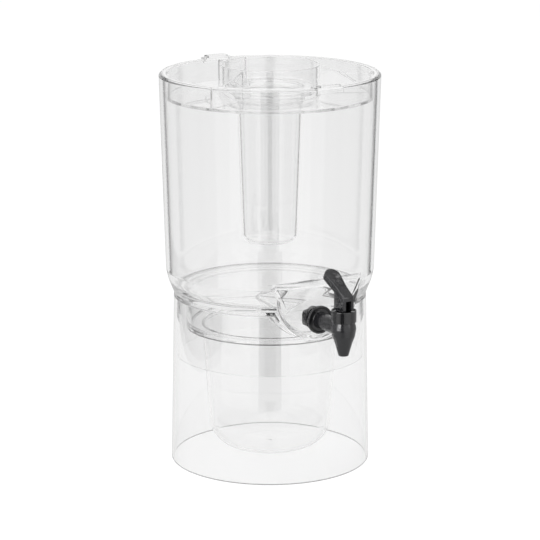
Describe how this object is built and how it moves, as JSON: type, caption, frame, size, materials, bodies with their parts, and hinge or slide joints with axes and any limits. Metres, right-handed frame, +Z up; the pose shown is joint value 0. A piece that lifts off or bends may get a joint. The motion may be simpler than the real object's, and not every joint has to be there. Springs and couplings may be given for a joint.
{
  "type": "juice dispenser",
  "caption": "Clear countertop juice dispenser with a flared reservoir on a stand, an ice bowl, a lidded ice tube and a black lever tap.",
  "frame": {"origin": "centre of the stand's foot, on the table", "axes": "+Z up along the reservoir's axis, -Y towards the tap"},
  "size_m": [0.23, 0.2755, 0.422],
  "materials": {
    "clear_plastic": "clear polished",
    "black_plastic": "satin gloss",
    "black_rubber": "matte",
    "silicone": "matte",
    "pin_steel": "plain"
  },
  "bodies": {
    "stand": {"base_stand": "clear_plastic"},
    "bowl": {"ice_bowl": "clear_plastic"},
    "tank": {"reservoir": "clear_plastic", "tap_body": "black_plastic", "outer_gasket": "black_rubber", "inner_gasket": "black_rubber", "hex_nut": "black_plastic", "tap_bonnet": "black_plastic", "seat_cup": "silicone"},
    "cover": {"lid": "clear_plastic"},
    "tube": {"ice_tube": "clear_plastic"},
    "stem": {"valve_stem": "black_plastic", "lever_pin": "pin_steel"},
    "lever": {"tap_lever": "black_plastic"}
  },
  "joints": [
    {"name": "bowl_lift", "type": "slide", "parent": "stand", "child": "bowl", "axis": [0, 0, 1], "range_m": [0, 0.19]},
    {"name": "tank_lift", "type": "slide", "parent": "bowl", "child": "tank", "axis": [0, 0, 1], "range_m": [0, 0.1]},
    {"name": "lid_lift", "type": "slide", "parent": "tank", "child": "cover", "axis": [0, 0, 1], "range_m": [0, 0.19]},
    {"name": "tube_lift", "type": "slide", "parent": "cover", "child": "tube", "axis": [0, 0, 1], "range_m": [0, 0.19]},
    {"name": "stem_lift", "type": "slide", "parent": "tank", "child": "stem", "axis": [0, 0, 1], "range_m": [0, 0.00252], "deforming": ["seat_cup"]},
    {"name": "lever_tip", "type": "hinge", "parent": "stem", "child": "lever", "pos_m": [0, -0.144, 0.2026], "axis": [1, 0, 0], "range_deg": [0, 45], "stiffness_Nm_per_rad": 0.15, "springref_deg": -5.73}
  ],
  "couplings": [
    {"joint": "stem_lift", "follows": "lever_tip", "m_per_rad": 0.0032}
  ]
}
